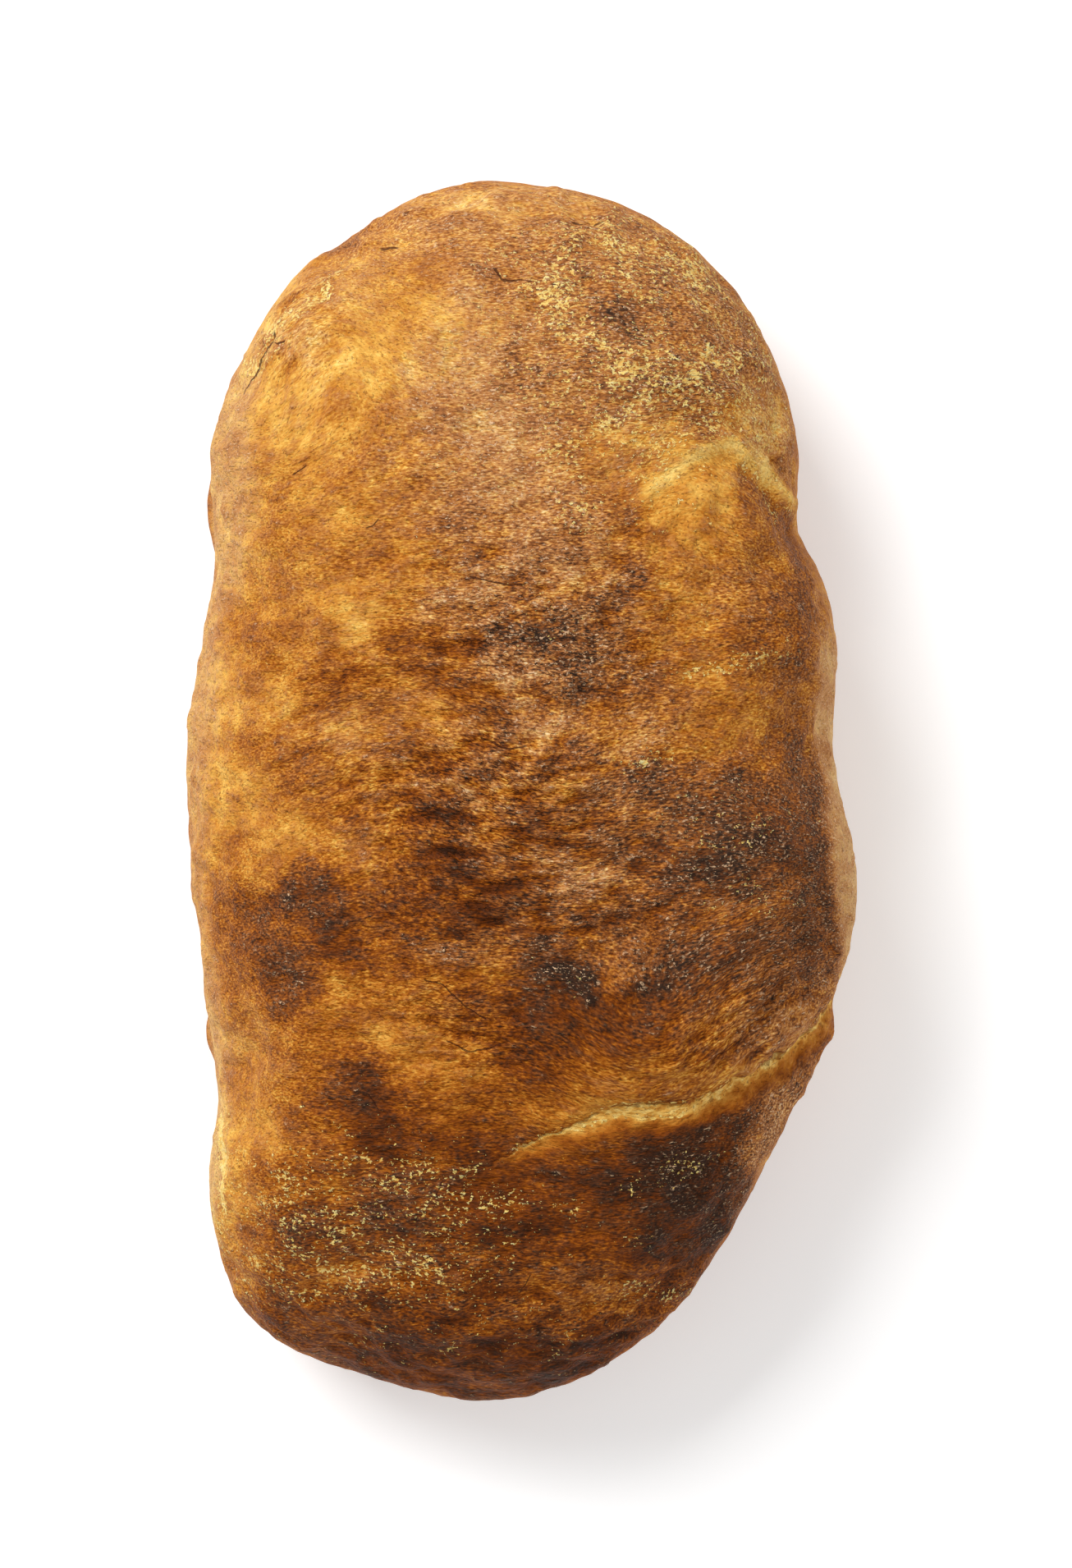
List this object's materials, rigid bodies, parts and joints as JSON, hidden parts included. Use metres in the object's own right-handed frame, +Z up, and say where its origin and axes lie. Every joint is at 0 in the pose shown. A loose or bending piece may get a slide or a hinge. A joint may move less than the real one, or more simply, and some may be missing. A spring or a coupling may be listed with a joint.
{
  "type": "sourdough loaf",
  "caption": "Long free-form hearth loaf with a folded, deeply browned and floured crust, lying on its flat baked base.",
  "frame": {"origin": "middle of the flat base, on the surface that the loaf lies on", "axes": "+Y along the loaf's length, +X across it towards the side with the two folds, +Z up from the base"},
  "size_m": [0.182, 0.33, 0.096],
  "materials": {
    "crust": "matte"
  },
  "bodies": {
    "root": {"loaf": "crust"}
  },
  "joints": []
}
